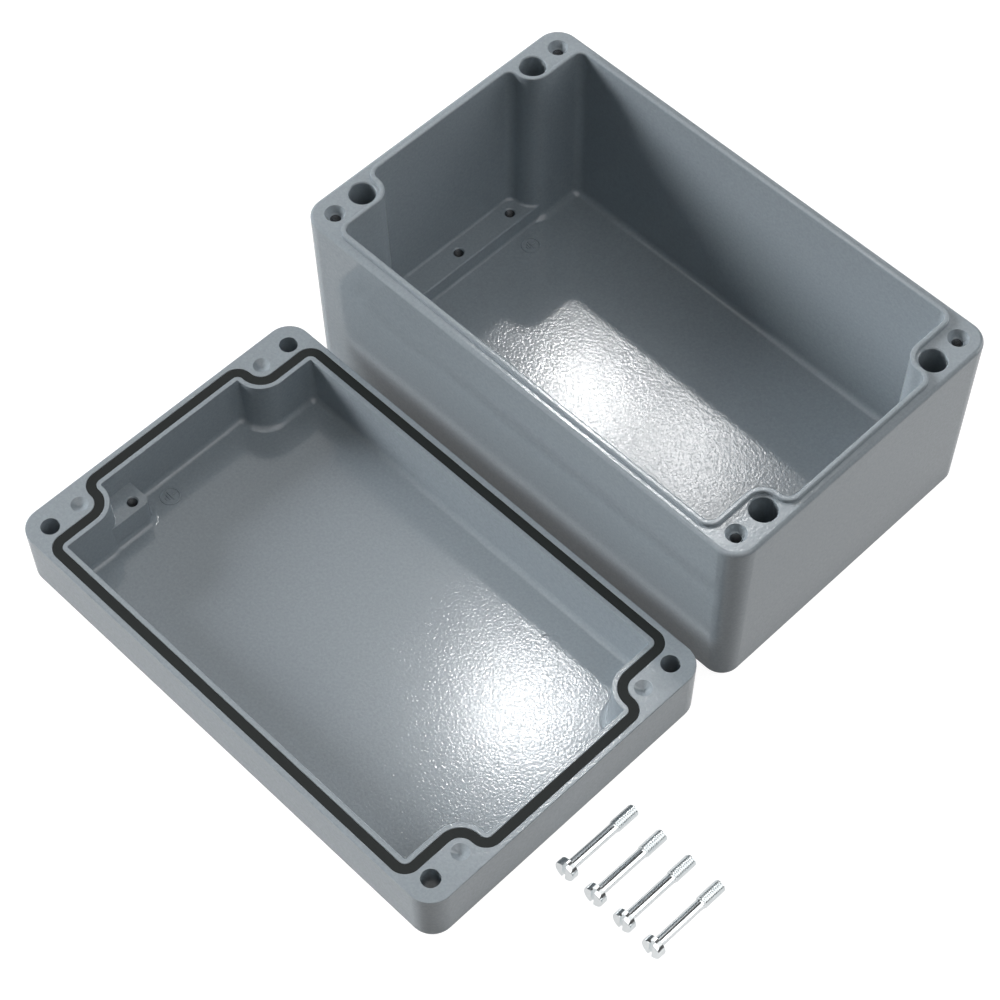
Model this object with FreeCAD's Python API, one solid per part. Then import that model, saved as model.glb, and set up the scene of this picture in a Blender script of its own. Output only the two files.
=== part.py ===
import FreeCAD, Part
import math
import os

os.makedirs("parts", exist_ok=True)

Vec = FreeCAD.Vector
UP = Vec(0, 0, 1)

# Die cast box, open, with its lid laid inside up beside it; lengths in millimetres.
# The frame stands on the floor under the middle of the base: X runs along the base,
# Z is up, and the lid lies on the side of negative Y.

# Both castings
box_length = 260.0
box_width = 162.0
outer_corner_radius = 11.0
draft_angle = 1.0
screw_inset = 11.0
mounting_pitch_y = 107.0

# Seal path, which the tongue, the groove, the gasket and both cavities follow
seal_inset = 4.95
seal_corner_radius = 5.5
boss_seal_radius = 8.7
shortest_straight = 0.3

# Base casting
base_height = 97.0
base_floor_thickness = 4.0
base_floor_fillet = 3.6
base_cavity_corner = 4.0
foot_edge_radius = 1.5
flange_edge_radius = 1.8
tongue_width = 2.5
tongue_height = 2.0
tongue_draft_angle = 4.0
tongue_edge_radius = 0.7

# Platforms across the ends of the base, with blind threaded holes
platform_height = 13.0
platform_setback = 0.6
platform_fillet = 1.5
platform_edge_radius = 0.8
plate_hole_inset = 15.0
plate_hole_pitch = 34.5
plate_holes_per_end = 3
plate_hole_depth = 9.0

# Wells for the wall screws and blind threaded holes for the lid screws
well_diameter = 12.4
well_seat_height = 6.0
well_edge_chamfer = 0.5
wall_screw_hole = 6.5
lid_thread_depth = 18.0
cored_mouth_diameter = 9.5
cored_mouth_depth = 3.1
drill_point_angle = 118.0

# Lid casting
lid_height = 31.5
lid_top_thickness = 3.5
lid_cavity_corner = 3.6
lid_floor_fillet = 3.0
face_edge_radius = 2.0
rim_edge_radius = 0.4
groove_width = 4.5
groove_depth = 6.0
lip_width = 2.3
mouth_edge_radius = 0.3
dimple_diameter = 8.0
dimple_depth = 2.4
head_recess_diameter = 11.5
head_recess_depth = 6.5
screw_neck_length = 5.0
screw_neck_clearance = 0.4
lid_hole_diameter = 8.6
ejector_mark_diameter = 12.0
ejector_mark_depth = 0.15
ejector_mark_x = 65.5
ejector_mark_y = 52.5

# Earth pad inside the lid
pad_below_rim = 13.0
pad_reach = 14.0
pad_edge_from_middle = 25.6
pad_corner_radius = 3.0
pad_foot_fillet = 3.0
pad_root = 2.5
pad_hole_from_wall = 9.0
pad_hole_from_edge = 6.2
pad_hole_depth = 10.0

# Gasket
gasket_thickness = 5.8
gasket_side_clearance = 0.05

# Lid screws
head_diameter = 10.0
head_height = 3.9
head_edge_chamfer = 0.4
slot_width = 1.6
slot_depth = 1.7
shank_diameter = 4.8
thread_diameter = 6.0
thread_pitch = 1.0
thread_length = 13.0
screw_length = 38.5
screw_point_chamfer = 0.6
lid_screw_count = 4

# Places of the parts that are taken off
lid_gap = 11.0
lid_shift = 1.1
first_screw_gap = 15.9
screw_spacing = 16.3

slope = math.tan(math.radians(draft_angle))
hole_x = box_length / 2 - screw_inset
screw_y = box_width / 2 - screw_inset
mounting_y = mounting_pitch_y / 2
seal_x = box_length / 2 - seal_inset
seal_y = box_width / 2 - seal_inset
boss_x = hole_x - boss_seal_radius
boss_y = mounting_y - boss_seal_radius
base_wall_offset = -tongue_width / 2
lid_wall_offset = -groove_width / 2 - lip_width
tongue_top = base_height + tongue_height
platform_front = boss_x + base_wall_offset - (tongue_top - platform_height) * slope + platform_setback
lid_centre = Vec(-lid_shift, -box_width - lid_gap, 0)


def four_corners(x, y):
    """The point (x, y) mirrored into the four corners of a casting."""
    return [(sx * x, sy * y) for sx in (-1, 1) for sy in (-1, 1)]


def rounded_wire(corners, z):
    """A closed wire at height z through corners (x, y, radius), with an arc in each corner."""
    edges = []
    joints = []
    count = len(corners)
    for i, (x, y, radius) in enumerate(corners):
        corner = Vec(x, y, z)
        before = Vec(*corners[i - 1][:2], z) - corner
        after = Vec(*corners[(i + 1) % count][:2], z) - corner
        before.normalize()
        after.normalize()
        half = before.getAngle(after) / 2
        reach = radius / math.tan(half)
        inward = before + after
        inward.normalize()
        middle = corner + inward * (radius / math.sin(half) - radius)
        joints.append((corner + before * reach, middle, corner + after * reach))
    for i, (start, middle, end) in enumerate(joints):
        edges.append(Part.Arc(start, middle, end).toShape())
        edges.append(Part.LineSegment(end, joints[(i + 1) % count][0]).toShape())
    return Part.Wire(edges)


def rectangle(half_x, half_y, radius, z):
    """A rounded rectangle about the middle."""
    corners = [(half_x, half_y), (-half_x, half_y), (-half_x, -half_y), (half_x, -half_y)]
    return rounded_wire([(x, y, radius) for x, y in corners], z)


def seal_outline(offset, z, least_radius=0.0):
    """The seal path at height z, moved outward by offset.

    It runs along the walls and steps round the screw boss in each corner, with an outer
    arc at each end of the step and an arc about the middle of the wall screw between them.
    """
    outer = max(seal_corner_radius + offset, least_radius)
    inner = min(boss_seal_radius - offset, seal_x - boss_x - outer - shortest_straight)
    step = [
        (boss_x + offset, seal_y + offset, outer),
        (boss_x + offset, boss_y + offset, inner),
        (seal_x + offset, boss_y + offset, outer),
    ]
    corners = list(reversed(step))
    corners += [(-x, y, r) for x, y, r in step]
    corners += [(-x, -y, r) for x, y, r in reversed(step)]
    corners += [(x, -y, r) for x, y, r in step]
    return rounded_wire(corners, z)


def side_face(low, high):
    """The face between two edges: a plane, a cone about a shared axis, or else a ruled face."""
    start = low.firstVertex(True).Point
    end = low.lastVertex(True).Point
    above = high.firstVertex(True).Point
    if low.Curve.TypeId == "Part::GeomLine":
        beyond = high.lastVertex(True).Point
        return Part.Face(Part.makePolygon([start, end, beyond, above, start]))
    centre = low.Curve.Center
    sideways = high.Curve.Center - centre
    sideways.z = 0
    if sideways.Length > 1e-7:
        return Part.makeRuledSurface(low, high)
    angle = math.degrees(low.Length / low.Curve.Radius)
    return Part.makeLine(above, start).revolve(centre, low.Curve.Axis, angle)


def between(lower, upper):
    """The solid with straight sides from one wire up to another."""
    sides = [side_face(low, high) for low, high in zip(lower.Edges, upper.Edges)]
    shell = Part.makeShell([Part.Face(lower).reversed(), Part.Face(upper)] + sides)
    shell.sewShape()
    return Part.makeSolid(shell)


def edges_at(shape, z):
    """The edges of a shape that lie in the plane at height z."""
    return [e for e in shape.Edges if max(abs(e.BoundBox.ZMin - z), abs(e.BoundBox.ZMax - z)) < 1e-5]


def outer_block(height, rim_radius, foot_radius):
    """The drafted outside of a casting, standing on its closed side, with rounded edges."""
    inset = height * slope
    foot = rectangle(box_length / 2 - inset, box_width / 2 - inset, outer_corner_radius - inset, 0)
    rim = rectangle(box_length / 2, box_width / 2, outer_corner_radius, height)
    block = between(foot, rim)
    block = block.makeFillet(foot_radius, edges_at(block, 0))
    return block.makeFillet(rim_radius, edges_at(block, height))


def cavity(offset, floor_z, mouth_z, corner, fillet):
    """The drafted hollow of a casting, parallel to the seal, with its floor edge rounded."""
    deep = seal_outline(offset - (mouth_z - floor_z) * slope, floor_z, corner)
    hollow = between(deep, seal_outline(offset, mouth_z))
    return hollow.makeFillet(fillet, edges_at(hollow, floor_z))


def turned(points, x=0.0, y=0.0):
    """A solid turned about a vertical line at (x, y), from points (radius, z)."""
    outline = Part.makePolygon([Vec(r, 0, z) for r, z in points + points[:1]])
    solid = Part.Face(outline).revolve(Vec(0, 0, 0), UP, 360)
    solid.translate(Vec(x, y, 0))
    return solid


def threaded_hole(depth, z, x, y, cored_diameter=0.0, cored_depth=0.0):
    """A blind hole down from height z at the core of the thread, with a drill point.

    Its mouth opens by a chamfer to the diameter of the thread; a cored hole widens on by a cone
    from there to its mouth.
    """
    core = (thread_diameter - thread_pitch) / 2
    start = thread_diameter / 2
    point = core / math.tan(math.radians(drill_point_angle / 2))
    mouth = max(cored_diameter / 2, start)
    return turned(
        [
            (0, z + 1),
            (mouth, z + 1),
            (mouth, z),
            (start, z - cored_depth),
            (core, z - cored_depth - (start - core)),
            (core, z - depth),
            (0, z - depth - point),
        ],
        x,
        y,
    )


def platform(side):
    """The raised bed across one end of the base, before its holes."""
    length = seal_x - platform_front
    bed = Part.makeBox(length, 2 * mounting_y, platform_height - 1)
    bed.translate(Vec(platform_front, -mounting_y, 1))
    front_edge = [e for e in edges_at(bed, platform_height) if e.BoundBox.XMax < platform_front + 0.1]
    bed = bed.makeFillet(platform_edge_radius, front_edge)
    return bed if side > 0 else bed.mirror(Vec(0, 0, 0), Vec(1, 0, 0))


def platform_foot(body):
    """The edges where the platforms meet the walls and the bosses."""
    crest = platform_front + platform_edge_radius
    return [
        e
        for e in edges_at(body, platform_height)
        if e.BoundBox.XLength > 0.1 or abs(e.CenterOfMass.x) > crest + 1
    ]


def make_base():
    """The base: a drafted box with four corner bosses, a tongue and two platforms."""
    body = outer_block(base_height, flange_edge_radius, foot_edge_radius)
    outer = tongue_width / 2
    lean = tongue_height * math.tan(math.radians(tongue_draft_angle))
    body = body.fuse(between(seal_outline(outer, base_height), seal_outline(outer - lean, tongue_top)))
    body = body.cut(
        cavity(base_wall_offset, base_floor_thickness, tongue_top, base_cavity_corner, base_floor_fillet)
    )
    body = body.makeFillet(tongue_edge_radius, edges_at(body, tongue_top))
    for side in (-1, 1):
        body = body.fuse(platform(side))
    body = body.makeFillet(platform_fillet, platform_foot(body))

    for x, y in four_corners(hole_x, mounting_y):
        radius = well_diameter / 2
        well = [
            (0, base_height + 1),
            (radius + well_edge_chamfer + 1, base_height + 1),
            (radius, base_height - well_edge_chamfer),
            (radius, well_seat_height),
            (wall_screw_hole / 2, well_seat_height),
            (wall_screw_hole / 2, -1),
            (0, -1),
        ]
        body = body.cut(turned(well, x, y))
    for x, y in four_corners(hole_x, screw_y):
        body = body.cut(
            threaded_hole(lid_thread_depth, base_height, x, y, cored_mouth_diameter, cored_mouth_depth)
        )
    for side in (-1, 1):
        for i in range(plate_holes_per_end):
            x = side * (box_length / 2 - plate_hole_inset)
            y = (i - (plate_holes_per_end - 1) / 2) * plate_hole_pitch
            body = body.cut(threaded_hole(plate_hole_depth, platform_height, x, y))
    return body.Solids[0]


def earth_pad():
    """The raised pad beside one boss of the lid, on a slab that lies within the lid's floor."""
    top = lid_height - pad_below_rim
    lean = (top - lid_top_thickness) * slope
    wall = -seal_x - lid_wall_offset + pad_below_rim * slope
    left = wall - pad_root
    right = wall + pad_reach
    lower = -mounting_y
    upper = -pad_edge_from_middle

    def outline(margin, z):
        corners = [
            (right + margin, upper + margin),
            (left - margin, upper + margin),
            (left - margin, lower - margin),
            (right + margin, lower - margin),
        ]
        return rounded_wire([(x, y, pad_corner_radius + margin) for x, y in corners], z)

    slab_margin = lean + pad_foot_fillet + rim_edge_radius
    pad = between(outline(lean, lid_top_thickness), outline(0, top))
    slab = between(outline(slab_margin, rim_edge_radius), outline(slab_margin, lid_top_thickness))
    pad = pad.fuse(slab)
    middle = pad.BoundBox.Center
    foot = [
        e
        for e in edges_at(pad, lid_top_thickness)
        if abs(e.CenterOfMass.x - middle.x) < (right - left) / 2 + lean + 0.1
        and abs(e.CenterOfMass.y - middle.y) < (upper - lower) / 2 + lean + 0.1
    ]
    return pad.makeFillet(pad_foot_fillet, foot)


def make_lid():
    """The lid, lying on its face: a shallow drafted tray with a groove for the gasket."""
    body = outer_block(lid_height, rim_edge_radius, face_edge_radius)
    body = body.cut(
        cavity(lid_wall_offset, lid_top_thickness, lid_height, lid_cavity_corner, lid_floor_fillet)
    )
    groove_floor = lid_height - groove_depth
    half = groove_width / 2
    ring = between(seal_outline(half, groove_floor), seal_outline(half, lid_height + 1))
    core = between(seal_outline(-half, groove_floor - 1), seal_outline(-half, lid_height + 2))
    body = body.cut(ring.cut(core))
    reach_x = seal_x + half + 0.1
    reach_y = seal_y + half + 0.1
    mouths = [
        e
        for e in edges_at(body, lid_height)
        if max(e.BoundBox.XMax, -e.BoundBox.XMin) < reach_x
        and max(e.BoundBox.YMax, -e.BoundBox.YMin) < reach_y
    ]
    body = body.makeFillet(mouth_edge_radius, mouths)

    neck = (thread_diameter + screw_neck_clearance) / 2
    for x, y in four_corners(hole_x, screw_y):
        hole = [
            (0, -1),
            (head_recess_diameter / 2, -1),
            (head_recess_diameter / 2, head_recess_depth),
            (neck, head_recess_depth),
            (neck, head_recess_depth + screw_neck_length),
            (lid_hole_diameter / 2, head_recess_depth + screw_neck_length),
            (lid_hole_diameter / 2, lid_height + 1),
            (0, lid_height + 1),
        ]
        body = body.cut(turned(hole, x, y))
    dimple = [(0, lid_height - dimple_depth), (dimple_diameter / 2, lid_height), (0, lid_height + 1)]
    for x, y in four_corners(hole_x, mounting_y):
        body = body.cut(turned(dimple, x, y))
    body = body.fuse(earth_pad())
    pad_x = -seal_x - lid_wall_offset + pad_hole_from_wall
    pad_y = -pad_edge_from_middle - pad_hole_from_edge
    body = body.cut(threaded_hole(pad_hole_depth, lid_height - pad_below_rim, pad_x, pad_y))
    for side in (-1, 1):
        mark = Part.makeCylinder(ejector_mark_diameter / 2, 1)
        mark.translate(Vec(side * ejector_mark_x, ejector_mark_y, lid_top_thickness - ejector_mark_depth))
        body = body.cut(mark)
    return body.Solids[0]


def make_gasket():
    """The gasket, which fills the groove of the lid to just under the rim."""
    half = groove_width / 2 - gasket_side_clearance
    floor = lid_height - groove_depth
    ring = between(seal_outline(half, floor), seal_outline(half, floor + gasket_thickness))
    core = between(seal_outline(-half, floor - 1), seal_outline(-half, lid_height + 1))
    return ring.cut(core).Solids[0]


def make_screw():
    """A lid screw with a slotted head, standing on its point."""
    shank = shank_diameter / 2
    thread = thread_diameter / 2
    head = head_diameter / 2
    point = screw_point_chamfer
    face = screw_length + head_height
    screw = turned(
        [
            (0, 0),
            (thread - point, 0),
            (thread, point),
            (thread, thread_length - (thread - shank)),
            (shank, thread_length),
            (shank, screw_length),
            (head, screw_length),
            (head, face - head_edge_chamfer),
            (head - head_edge_chamfer, face),
            (0, face),
        ]
    )
    slot = Part.makeBox(slot_width, 2 * head_diameter, 2 * slot_depth)
    slot.translate(Vec(-slot_width / 2, -head_diameter, face - slot_depth))
    return screw.cut(slot).Solids[0]


def lay_screw(screw, x):
    """A screw lying on the rim of its head and the end of its thread, with its head to negative Y."""
    tilt = math.atan2((head_diameter - thread_diameter) / 2, screw_length - screw_point_chamfer)
    lift = head_diameter / 2 * math.cos(tilt) - screw_length * math.sin(tilt)
    reach = (screw_length + head_height) * math.cos(tilt)
    lying = screw.copy()
    lying.rotate(Vec(0, 0, 0), Vec(1, 0, 0), 90 - math.degrees(tilt))
    lying.translate(Vec(x, lid_centre.y + reach / 2, lift))
    return lying


def export(shape, name):
    shape.exportStep("parts/" + name + ".step")


lid = make_lid()
lid.translate(lid_centre)
gasket = make_gasket()
gasket.translate(lid_centre)
export(make_base(), "base")
export(lid, "lid")
export(gasket, "gasket")
screw = make_screw()
for i in range(lid_screw_count):
    x = lid_centre.x + box_length / 2 + first_screw_gap + i * screw_spacing
    export(lay_screw(screw, x), "lid_screw_" + str(i + 1))
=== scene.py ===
import math
import bpy
import numpy as np
from mathutils import Matrix, Vector


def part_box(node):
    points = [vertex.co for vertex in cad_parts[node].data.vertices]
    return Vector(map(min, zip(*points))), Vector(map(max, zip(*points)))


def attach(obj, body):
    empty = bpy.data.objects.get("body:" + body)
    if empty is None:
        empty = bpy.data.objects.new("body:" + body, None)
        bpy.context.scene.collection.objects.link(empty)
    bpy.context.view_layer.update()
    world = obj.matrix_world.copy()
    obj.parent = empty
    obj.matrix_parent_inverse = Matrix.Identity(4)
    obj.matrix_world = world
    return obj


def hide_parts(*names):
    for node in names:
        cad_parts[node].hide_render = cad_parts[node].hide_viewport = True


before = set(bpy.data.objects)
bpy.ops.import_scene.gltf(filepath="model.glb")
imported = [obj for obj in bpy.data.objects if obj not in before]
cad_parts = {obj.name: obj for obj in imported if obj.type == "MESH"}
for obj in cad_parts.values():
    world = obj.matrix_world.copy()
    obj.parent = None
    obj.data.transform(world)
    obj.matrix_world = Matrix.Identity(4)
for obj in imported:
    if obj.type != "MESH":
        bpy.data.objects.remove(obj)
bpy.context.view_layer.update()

MM = 0.001


# Camera and light

CAMERA_PLACE = (0.46936, -0.54712, 0.99138)
CAMERA_RIGHT = (0.705575, 0.708617, -0.005033)
CAMERA_UP = (-0.586051, 0.587499, 0.558022)
CAMERA_LENS = 95.21
LAMP_DISTANCE = 2.5

# Name, azimuth and elevation from +X, apparent width, all in degrees, and strength
LIGHTS = (
    ("key", 209, 20, 24, 3.6),
    ("top_fill", 0, 90, 40, 0.34),
    ("right_fill", 0, 45, 40, 0.35),
    ("rear_fill", 60, 15, 40, 0.95),
    ("rear_top_fill", 45, 45, 40, 0.31),
    ("left_fill", 135, 45, 40, 0.38),
    ("front_fill", 228, 15, 30, 0.23),
    ("glint_lid", 134.6, 60.6, 1.6, 0.066),
    ("glint_base", 132.5, 53.9, 1.6, 0.057),
    ("glint_base_right", 128.5, 54.7, 1.6, 0.024),
    ("glint_flange", 127.9, 55.8, 1.6, 0.0141),
    ("white_card", -49, 55, 95, 1.9),
)


def aim(obj, place, right, up):
    """Puts an object at a place, with its own X and Y along the vectors right and up."""
    right = Vector(right).normalized()
    back = right.cross(Vector(up)).normalized()
    turn = Matrix((right, back.cross(right), back)).transposed().to_4x4()
    obj.matrix_world = Matrix.Translation(Vector(place)) @ turn


def add_camera():
    """The camera, at the place and angle that the photo was taken from."""
    data = bpy.data.cameras.new("camera")
    data.sensor_width = 36.0
    data.lens = CAMERA_LENS
    data.clip_start = 0.05
    camera = bpy.data.objects.new("camera", data)
    bpy.context.collection.objects.link(camera)
    aim(camera, CAMERA_PLACE, CAMERA_RIGHT, CAMERA_UP)
    bpy.context.scene.camera = camera


def add_light(name, azimuth, elevation, width, strength):
    """A round, far light: its direction and its apparent width in degrees, and its strength."""
    data = bpy.data.lights.new(name, "SUN")
    data.angle = math.radians(width)
    data.energy = strength
    light = bpy.data.objects.new(name, data)
    bpy.context.collection.objects.link(light)
    turn, rise = math.radians(azimuth), math.radians(elevation)
    towards = Vector((math.cos(turn) * math.cos(rise), math.sin(turn) * math.cos(rise), math.sin(rise)))
    light.location = towards * LAMP_DISTANCE
    light.rotation_euler = towards.to_track_quat("Z", "Y").to_euler()
    return light


# Meshes worked out as grids of points

def grid_faces(rows, columns, closed_rows, closed_columns):
    """Quads between neighbouring points of a grid, whose point (i, j) has number i * columns + j."""
    i = np.arange(rows if closed_rows else rows - 1)[:, None]
    j = np.arange(columns if closed_columns else columns - 1)[None, :]
    below = (i + 1) % rows
    beside = (j + 1) % columns
    corners = [i * columns + j, i * columns + beside, below * columns + beside, below * columns + j]
    return np.stack([np.broadcast_to(c, (i.size, j.size)) for c in corners], -1).reshape(-1, 4)


def tube_patch(points):
    """A closed skin over a grid of points, whose rows are loops. A fan to its middle closes each end loop."""
    rows, columns = points.shape[:2]
    flat = points.reshape(-1, 3)
    ends = np.stack([points[0].mean(0), points[-1].mean(0)])
    quads = grid_faces(rows, columns, False, True)
    j = np.arange(columns)
    beside = (j + 1) % columns
    last = (rows - 1) * columns
    first_fan = np.stack([beside, j, np.full(columns, rows * columns)], -1)
    last_fan = np.stack([last + j, last + beside, np.full(columns, rows * columns + 1)], -1)
    return np.vstack([flat, ends]), quads, np.vstack([first_fan, last_fan])


def ring_patch(points):
    """A closed skin over a grid of points that joins itself both ways, such as a ring."""
    quads = grid_faces(points.shape[0], points.shape[1], True, True)
    return points.reshape(-1, 3), quads, np.empty((0, 3), int)


def add_piece(name, patches, material, smooth_angle=35):
    """One mesh object from several closed patches, in metres, riding on the part."""
    points, loops, sizes = [], [], []
    start = 0
    for verts, quads, triangles in patches:
        points.append(verts)
        loops += [(quads + start).ravel(), (triangles + start).ravel()]
        sizes += [np.full(len(quads), 4), np.full(len(triangles), 3)]
        start += len(verts)
    points, loops, sizes = np.vstack(points), np.concatenate(loops), np.concatenate(sizes)
    mesh = bpy.data.meshes.new(name)
    mesh.vertices.add(len(points))
    mesh.vertices.foreach_set("co", points.astype(np.float32).ravel())
    mesh.loops.add(len(loops))
    mesh.loops.foreach_set("vertex_index", loops.astype(np.int32))
    mesh.polygons.add(len(sizes))
    mesh.polygons.foreach_set("loop_start", (np.cumsum(sizes) - sizes).astype(np.int32))
    mesh.polygons.foreach_set("loop_total", sizes.astype(np.int32))
    mesh.update(calc_edges=True)
    mesh.validate()
    mesh.shade_smooth()
    mesh.set_sharp_from_angle(angle=math.radians(smooth_angle))
    mesh.materials.append(material)
    piece = bpy.data.objects.new(name, mesh)
    bpy.context.collection.objects.link(piece)
    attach(piece, "root")
    return piece


# Materials

ROOM = 0.02                 # strength of the room's own white light
ROOM_MIRRORED = 0.07        # what reflections see of it on top
FLOOR_SEEN = 0.45           # glow of the floor that only the camera sees
FLOOR_MIRRORED = 0.47       # glow that the camera and reflections see
FLOOR_MIRRORED_RIGHT = 0.62     # the same past the castings' +X ends
FLOOR_STEP = (0.125, 0.135)     # where one passes into the other, in metres along X
FLOOR_REACH = 4                 # half the floor's side, in metres
NOISE_LOW, NOISE_HIGH = 0.3, 0.7    # where most of a noise texture's values lie


class Nodes:
    """Adds nodes to a tree and joins them."""

    def __init__(self, tree):
        self.tree = tree

    def add(self, kind, settings=None, **inputs):
        node = self.tree.nodes.new(kind)
        for key, value in (settings or {}).items():
            setattr(node, key, value)
        for key, value in inputs.items():
            self.put(node, key.replace("_", " "), value)
        return node

    def put(self, node, key, value):
        socket = node.inputs[int(key)] if key.isdigit() else node.inputs[key]
        if isinstance(value, bpy.types.NodeSocket):
            self.tree.links.new(value, socket)
        else:
            socket.default_value = value

    def math(self, operation, *values):
        node = self.tree.nodes.new("ShaderNodeMath")
        node.operation = operation
        for i, value in enumerate(values):
            self.put(node, str(i), value)
        return node.outputs[0]


def make_group(name, inputs, outputs):
    """An empty node group with float or vector inputs and named outputs."""
    tree = bpy.data.node_groups.new(name, "ShaderNodeTree")
    for key, kind, value in inputs:
        socket = tree.interface.new_socket(key, in_out="INPUT", socket_type=kind)
        if value is not None:
            socket.default_value = value
    for key, kind in outputs:
        tree.interface.new_socket(key, in_out="OUTPUT", socket_type=kind)
    n = Nodes(tree)
    return tree, n, n.add("NodeGroupInput").outputs, n.add("NodeGroupOutput")


def orange_peel_group():
    """The skin of a sprayed coat: short winding ridges of a given size, as a height."""
    tree, n, given, out = make_group(
        "orange_peel",
        [("Vector", "NodeSocketVector", None), ("Ridges per Metre", "NodeSocketFloat", 800.0)],
        [("Height", "NodeSocketFloat")],
    )
    ridges = n.add("ShaderNodeTexNoise", Vector=given["Vector"], Scale=given["Ridges per Metre"], Detail=0.0)
    ridges.inputs["Distortion"].default_value = 0.7
    n.put(out, "Height", ridges.outputs[0])
    return tree


def patches_group():
    """Wide soft patches, as a value about 0.5."""
    tree, n, given, out = make_group(
        "soft_patches",
        [("Vector", "NodeSocketVector", None), ("Patches per Metre", "NodeSocketFloat", 20.0)],
        [("Value", "NodeSocketFloat")],
    )
    noise = n.add("ShaderNodeTexNoise", Vector=given["Vector"], Scale=given["Patches per Metre"], Detail=3.0)
    n.put(out, "Value", noise.outputs[0])
    return tree


PEEL = orange_peel_group()
PATCHES = patches_group()


def patches_at(n, where, per_metre):
    """Places the soft patches in a material and gives their value."""
    group = n.add("ShaderNodeGroup", {"node_tree": PATCHES}, Vector=where, Patches_per_Metre=per_metre)
    return group.outputs[0]


def new_material(name):
    """A material with a Principled BSDF, its nodes, and Object coordinates."""
    material = bpy.data.materials.new(name)
    material.use_nodes = True
    material.node_tree.nodes.clear()
    n = Nodes(material.node_tree)
    shader = n.add("ShaderNodeBsdfPrincipled")
    out = n.add("ShaderNodeOutputMaterial")
    material.node_tree.links.new(shader.outputs[0], out.inputs["Surface"])
    where = n.add("ShaderNodeTexCoord").outputs["Object"]
    return material, n, shader, where


def map_range(n, value, from_low, from_high, to_low, to_high):
    """Maps a value from one span to another and holds it at the ends."""
    spans = {"From_Min": from_low, "From_Max": from_high, "To_Min": to_low, "To_Max": to_high}
    return n.add("ShaderNodeMapRange", Value=value, **spans).outputs[0]


def spread(n, value, low, high):
    """Maps a noise value to the span from low to high."""
    return map_range(n, value, NOISE_LOW, NOISE_HIGH, low, high)


def mix_colour(n, factor, first, second):
    """Mixes two colours: the node's sockets 6 and 7 and its output 2 are the coloured ones."""
    node = n.add("ShaderNodeMix", {"data_type": "RGBA"})
    n.put(node, "0", factor)
    n.put(node, "6", (*first, 1.0))
    n.put(node, "7", (*second, 1.0))
    return node.outputs[2]


def make_paint():
    """Silver grey sprayed coat: fine winding ridges, painted lighter on their crests and darker in their
    hollows as painted shade, and a soft gloss.
    """
    material, n, shader, where = new_material("silver_grey_paint")
    patches = patches_at(n, where, 18.0)
    peel = n.add("ShaderNodeGroup", {"node_tree": PEEL}, Vector=where, Ridges_per_Metre=850.0).outputs[0]
    # Painted shade: the peel's hollows take the darker colour and its crests the lighter one.
    n.put(shader, "Base Color", mix_colour(n, peel, (0.269, 0.307, 0.336), (0.329, 0.375, 0.410)))
    n.put(shader, "Roughness", spread(n, patches, 0.09, 0.11))
    bump = n.add("ShaderNodeBump", Strength=1.0, Distance=0.000018, Height=peel)
    n.put(shader, "Normal", bump.outputs[0])
    return material


def make_rubber():
    """Matt black rubber with a fine grain."""
    material, n, shader, where = new_material("black_rubber")
    patches = patches_at(n, where, 900.0)
    n.put(shader, "Base Color", mix_colour(n, patches, (0.010, 0.012, 0.012), (0.017, 0.020, 0.020)))
    n.put(shader, "Roughness", spread(n, patches, 0.5, 0.66))
    shader.inputs["Specular IOR Level"].default_value = 0.3
    bump = n.add("ShaderNodeBump", Strength=0.6, Distance=0.00006, Height=patches)
    n.put(shader, "Normal", bump.outputs[0])
    return material


def make_tapped_metal():
    """Metal of the turns of thread in the holes, painted near black as the shade deep inside the holes."""
    material, n, shader, where = new_material("thread_shade_metal")
    patches = patches_at(n, where, 400.0)
    # Painted shade: the near black colour stands in for the shade deep in the threaded holes.
    n.put(shader, "Base Color", mix_colour(n, patches, (0.017, 0.023, 0.029), (0.029, 0.037, 0.046)))
    n.put(shader, "Roughness", spread(n, patches, 0.35, 0.5))
    bump = n.add("ShaderNodeBump", Strength=0.3, Distance=0.00002, Height=patches)
    n.put(shader, "Normal", bump.outputs[0])
    return material


def make_zinc():
    """Bright zinc plate on steel, with faint clouds."""
    material, n, shader, where = new_material("bright_zinc")
    patches = patches_at(n, where, 260.0)
    n.put(shader, "Base Color", mix_colour(n, patches, (0.84, 0.88, 0.90), (0.93, 0.95, 0.95)))
    n.put(shader, "Roughness", spread(n, patches, 0.1, 0.16))
    shader.inputs["Metallic"].default_value = 1.0
    bump = n.add("ShaderNodeBump", Strength=0.25, Distance=0.00003, Height=patches)
    n.put(shader, "Normal", bump.outputs[0])
    return material


def make_backdrop():
    """Plain pale floor, with a glow that is seen and mirrored but lights nothing. It is brighter past the
    castings' +X ends, where the screws lie."""
    material, n, shader, where = new_material("pale_floor")
    path = n.add("ShaderNodeLightPath")
    seen = n.math("MULTIPLY", path.outputs["Is Camera Ray"], FLOOR_SEEN)
    mirrored = n.math("SUBTRACT", 1.0, path.outputs["Is Diffuse Ray"])
    across = n.add("ShaderNodeSeparateXYZ", Vector=where).outputs["X"]
    glow = map_range(n, across, *FLOOR_STEP, FLOOR_MIRRORED, FLOOR_MIRRORED_RIGHT)
    n.put(shader, "Emission Strength", n.math("MULTIPLY_ADD", mirrored, glow, seen))
    shader.inputs["Base Color"].default_value = (0.25, 0.25, 0.25, 1.0)
    shader.inputs["Roughness"].default_value = 0.9
    shader.inputs["Specular IOR Level"].default_value = 0.1
    shader.inputs["Emission Color"].default_value = (1.0, 1.0, 1.0, 1.0)
    return material


# Lid screws

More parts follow.
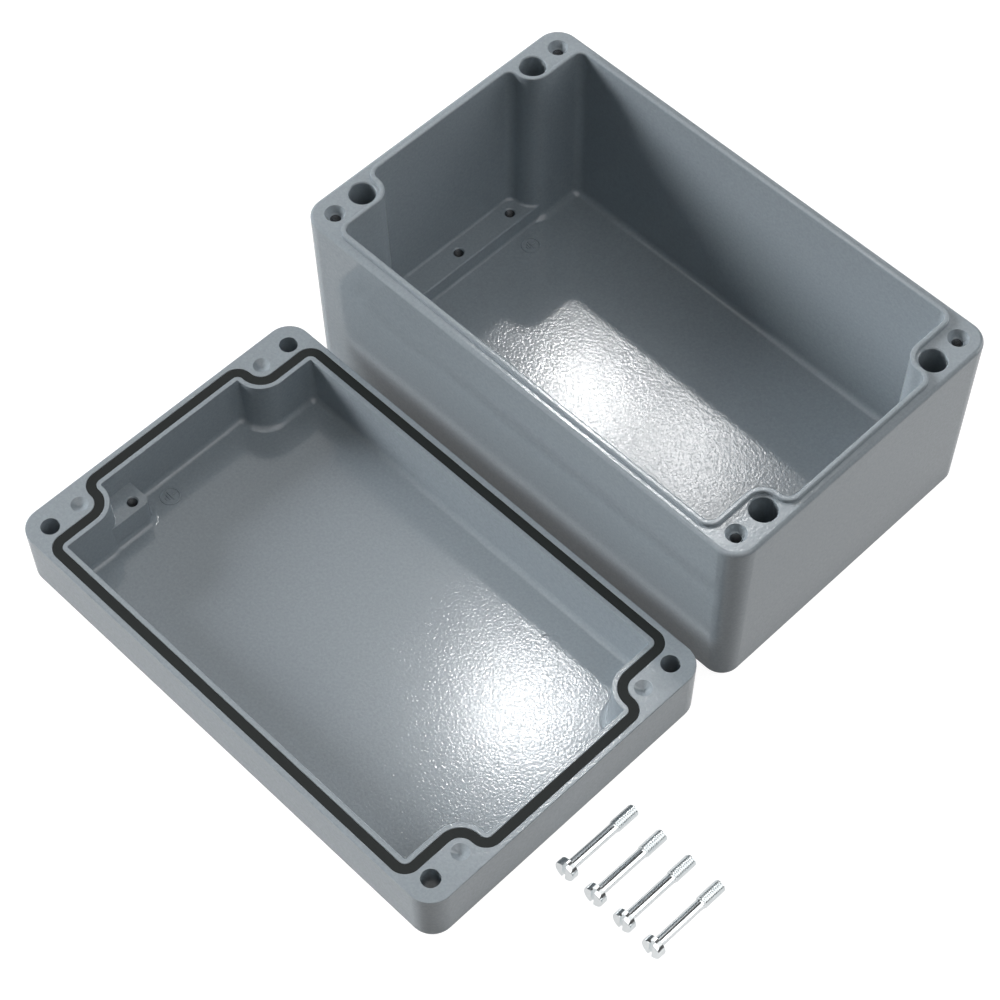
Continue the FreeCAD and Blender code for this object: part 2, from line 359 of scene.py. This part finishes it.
SCREW_LENGTH = 38.5
HEAD_RADIUS = 5.0
HEAD_HEIGHT = 3.9
THREAD_RADIUS = 3.0
THREAD_CORE = 2.36
THREAD_PITCH = 1.0
THREAD_LENGTH = 13.0
THREAD_RUNOUT = 1.2
SHANK_RADIUS = 2.4
SLOT_HALF = 0.8
SLOT_DEPTH = 1.7
POINT_CHAMFER = 0.6
SCREW_TOP = SCREW_LENGTH + HEAD_HEIGHT
SLOT_FLOOR = SCREW_TOP - SLOT_DEPTH
# Inset and height of the head's side, from under the slot's floor up to the top
HEAD_SIDE = ((0.0, SLOT_FLOOR - 0.4), (0.0, SCREW_TOP - 0.45), (0.12, SCREW_TOP - 0.22), (0.4, SCREW_TOP))


def turned_points(profile, columns):
    """A profile of (radius, height) carried round the Z axis."""
    profile = np.asarray(profile, float)
    angle = np.linspace(0, 2 * np.pi, columns, endpoint=False)
    radius, height = profile[:, :1], profile[:, 1:]
    return np.stack([radius * np.cos(angle), radius * np.sin(angle), height + 0 * angle], -1)


def screw_thread():
    """Core radius plus a ridge with a narrow flat crest and sloped flanks that winds up one pitch a turn.
    The cone of the point cuts it off, and it sinks into the shank over the last turn."""
    columns = 48
    height = np.linspace(0, THREAD_LENGTH, int(THREAD_LENGTH / THREAD_PITCH * 12) + 1)[:, None]
    angle = np.linspace(0, 2 * np.pi, columns, endpoint=False)[None, :]
    phase = (height / THREAD_PITCH - angle / (2 * np.pi)) % 1.0
    ridge = np.clip(1.25 - 2.5 * np.abs(phase - 0.5), 0, 1)
    sinking = np.clip((THREAD_LENGTH - height) / THREAD_RUNOUT, 0, 1)
    radius = THREAD_CORE + (THREAD_RADIUS - THREAD_CORE) * ridge * sinking
    radius = np.minimum(radius, THREAD_RADIUS - POINT_CHAMFER + height)
    return np.stack([radius * np.cos(angle), radius * np.sin(angle), height + 0 * angle], -1)


def half_head(side):
    """Half of the head beside the slot: a D shaped loop, set in at the top by the chamfer."""
    loops = []
    for inset, z in HEAD_SIDE:
        radius = HEAD_RADIUS - inset
        near = SLOT_HALF + 0.25 * inset
        half = math.acos(near / radius)
        angle = np.linspace(-half, half, 40)
        arc = np.stack([radius * np.cos(angle), radius * np.sin(angle)], -1)
        chord = np.stack([np.full(14, near), np.linspace(arc[-1, 1], arc[0, 1], 16)[1:-1]], -1)
        loop = np.vstack([arc, chord])
        loops.append(np.column_stack([loop, np.full(len(loop), z)]))
    points = np.array(loops)
    if side < 0:
        points = points * (-1, -1, 1)
    return points


def lay_down(points, x, y):
    """Turns a screw from standing on its point to lying on its head's rim and its thread."""
    tilt = math.atan2(HEAD_RADIUS - THREAD_RADIUS, SCREW_LENGTH - POINT_CHAMFER)
    rise, level = math.sin(tilt), math.cos(tilt)
    lift = HEAD_RADIUS * level - SCREW_LENGTH * rise
    reach = SCREW_TOP * level
    px, py, pz = points[..., 0], points[..., 1], points[..., 2]
    return np.stack([px + x, py * rise - pz * level + y + reach / 2, py * level + pz * rise + lift], -1) * MM


def add_screws(material):
    lid_low, lid_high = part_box("lid")
    y = (lid_low[1] + lid_high[1]) / 2 / MM
    shank = turned_points(
        [(2.2, THREAD_LENGTH - 0.6), (SHANK_RADIUS, THREAD_LENGTH - 0.2), (SHANK_RADIUS, SCREW_LENGTH - 0.5),
         (SHANK_RADIUS + 0.15, SCREW_LENGTH - 0.15), (SHANK_RADIUS + 0.5, SCREW_LENGTH + 0.2)], 48)
    disc = turned_points(
        [(HEAD_RADIUS - 0.15, SCREW_LENGTH), (HEAD_RADIUS, SCREW_LENGTH + 0.15),
         (HEAD_RADIUS, SLOT_FLOOR - 0.05), (HEAD_RADIUS - 0.05, SLOT_FLOOR)], 96)
    shapes = [screw_thread(), shank, disc, half_head(1), half_head(-1)]
    for i in range(4):
        name = "lid_screw_" + str(i + 1)
        low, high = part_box(name)
        x = (low[0] + high[0]) / 2 / MM
        patches = [tube_patch(lay_down(shape, x, y)) for shape in shapes]
        piece = add_piece("screw_" + str(i + 1), patches, material, 30)
        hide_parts(name)


# Raised signs on the floors of the castings

SIGN_HEIGHT = 0.5
SIGN_LINE = 0.42            # half the width of a stroke
SIGN_STROKES = (((0, 0.62), (0, 0.08)), ((-0.48, 0.05), (0.48, 0.05)), ((-0.3, -0.22), (0.3, -0.22)),
                ((-0.12, -0.49), (0.12, -0.49)))
BASE_SIGN = (-98.8, 32.5, 9.6, 4.0)         # X, Y, diameter and floor height
LID_SIGN = (-110.5, -12.4, 9.8, 3.5)        # the same, from the middle of the lid


def bar_points(start, end, half_width, height, floor):
    """A raised stroke: an upright loop with round ends, drawn in towards its crest."""
    start, end = np.array(start, float), np.array(end, float)
    along = (end - start) / np.linalg.norm(end - start)
    across = np.array([-along[1], along[0]])
    angle = np.linspace(-np.pi / 2, np.pi / 2, 9)
    loops = []
    for width, z in ((1.1, -0.3), (1.1, 0.0), (0.95, 0.55), (0.75, 0.85), (0.45, 1.0)):
        r = half_width * width
        tip = end + r * (np.cos(angle)[:, None] * along + np.sin(angle)[:, None] * across)
        tail = start - r * (np.cos(angle)[:, None] * along + np.sin(angle)[:, None] * across)
        loop = np.vstack([tip, tail])
        loops.append(np.column_stack([loop, np.full(len(loop), floor + z * height)]))
    return np.array(loops) * MM


def ring_points(x, y, radius, half_width, height, floor):
    """A raised ring: a low crowned section carried round a circle."""
    turn = np.linspace(0, 2 * np.pi, 72, endpoint=False)[:, None]
    section = np.array([(1.1, -0.3), (1.1, 0.0), (0.95, 0.55), (0.6, 0.92), (0.0, 1.0),
                        (-0.6, 0.92), (-0.95, 0.55), (-1.1, 0.0), (-1.1, -0.3)])
    r = radius + half_width * section[None, :, 0]
    z = floor + height * section[None, :, 1] + 0 * turn
    return np.stack([x + r * np.cos(turn), y + r * np.sin(turn), z], -1) * MM


def earth_sign(x, y, diameter, floor):
    """The earth sign: a stem that ends on the longest of three bars, in a ring."""
    r = diameter / 2
    patches = [ring_patch(ring_points(x, y, r - SIGN_LINE, SIGN_LINE, SIGN_HEIGHT, floor))]
    for (x0, y0), (x1, y1) in SIGN_STROKES:
        start, end = (x + x0 * r, y + y0 * r), (x + x1 * r, y + y1 * r)
        patches.append(tube_patch(bar_points(start, end, SIGN_LINE * 0.9, SIGN_HEIGHT, floor)))
    return patches


# Turns of thread just inside the threaded holes

LID_SCREW_HOLES = (119, 70)             # X and Y, in each corner of the base
PLATFORM_HOLES = (115, (-34.5, 0, 34.5))
EARTH_PAD_HOLE = (-111.5, -31.8)        # from the middle of the lid
LID_SCREW_TURNS = (93.2, 9)             # height of the first turn, and how many
PLATFORM_TURNS = (12.3, 7)
EARTH_PAD_TURNS = (17.8, 8)
HOLE_RADIUS = 2.5
RIDGE_DEPTH = 0.42
RIDGE_HALF = 0.42                       # half its width at the root
RIDGE_ROOT = 0.06                       # how far its root lies inside the wall


def thread_turns(x, y, top, turns):
    """A three-sided ridge on the wall of a hole, winding down one pitch a turn and fading at both ends."""
    t = np.linspace(0, turns, int(turns * 32) + 1)[:, None]
    fade = np.clip(np.minimum(t, turns - t) * 3, 0.02, 1)
    at_root = np.array([[True, True, False]])
    beside = np.array([[-RIDGE_HALF, RIDGE_HALF, 0.0]])
    r = np.where(at_root, HOLE_RADIUS + RIDGE_ROOT, HOLE_RADIUS - RIDGE_DEPTH * fade)
    z = top - t * THREAD_PITCH + beside * THREAD_PITCH * fade
    angle = -2 * np.pi * t
    return np.stack([x + r * np.cos(angle), y + r * np.sin(angle), z], -1) * MM


paint = make_paint()
rubber = make_rubber()
zinc = make_zinc()
thread_shade = make_tapped_metal()

add_camera()
lights = {row[0]: add_light(*row) for row in LIGHTS}
# From the far side the flanges would mirror the small key as bare white, so it lights without a reflection.
lights["key"].visible_glossy = False
# The card shows only in reflections.
lights["white_card"].visible_diffuse = False

world = bpy.data.worlds.new("studio")
bpy.context.scene.world = world
world.use_nodes = True
room = Nodes(world.node_tree)
mirrored = room.add("ShaderNodeLightPath").outputs["Is Glossy Ray"]
background = world.node_tree.nodes["Background"]
background.inputs["Color"].default_value = (1.0, 1.0, 1.0, 1.0)
room.put(background, "Strength", room.math("MULTIPLY_ADD", mirrored, ROOM_MIRRORED, ROOM))

floor_mesh = bpy.data.meshes.new("floor")
floor_corners = [(x * FLOOR_REACH, y * FLOOR_REACH, 0) for x, y in ((-1, -1), (1, -1), (1, 1), (-1, 1))]
floor_mesh.from_pydata(floor_corners, [], [(0, 1, 2, 3)])
floor_mesh.materials.append(make_backdrop())
floor = bpy.data.objects.new("floor", floor_mesh)
bpy.context.collection.objects.link(floor)

for node, material in (("base", paint), ("lid", paint), ("gasket", rubber)):
    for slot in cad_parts[node].material_slots:
        slot.material = material

add_screws(zinc)

lid_low, lid_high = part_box("lid")
lid_x = (lid_low[0] + lid_high[0]) / 2 / MM
lid_y = (lid_low[1] + lid_high[1]) / 2 / MM
add_piece("base_earth_sign", earth_sign(*BASE_SIGN), paint)
lid_sign = earth_sign(lid_x + LID_SIGN[0], lid_y + LID_SIGN[1], *LID_SIGN[2:])
add_piece("lid_earth_sign", lid_sign, paint)

base_turns = []
for sx in (-1, 1):
    for sy in (-1, 1):
        x, y = sx * LID_SCREW_HOLES[0], sy * LID_SCREW_HOLES[1]
        base_turns.append(tube_patch(thread_turns(x, y, *LID_SCREW_TURNS)))
    for y in PLATFORM_HOLES[1]:
        base_turns.append(tube_patch(thread_turns(sx * PLATFORM_HOLES[0], y, *PLATFORM_TURNS)))
add_piece("base_threads", base_turns, thread_shade)
pad_turns = thread_turns(lid_x + EARTH_PAD_HOLE[0], lid_y + EARTH_PAD_HOLE[1], *EARTH_PAD_TURNS)
add_piece("earth_pad_thread", [tube_patch(pad_turns)], thread_shade)

bpy.context.scene.view_settings.view_transform = "Standard"
bpy.context.scene.cycles.use_light_tree = False
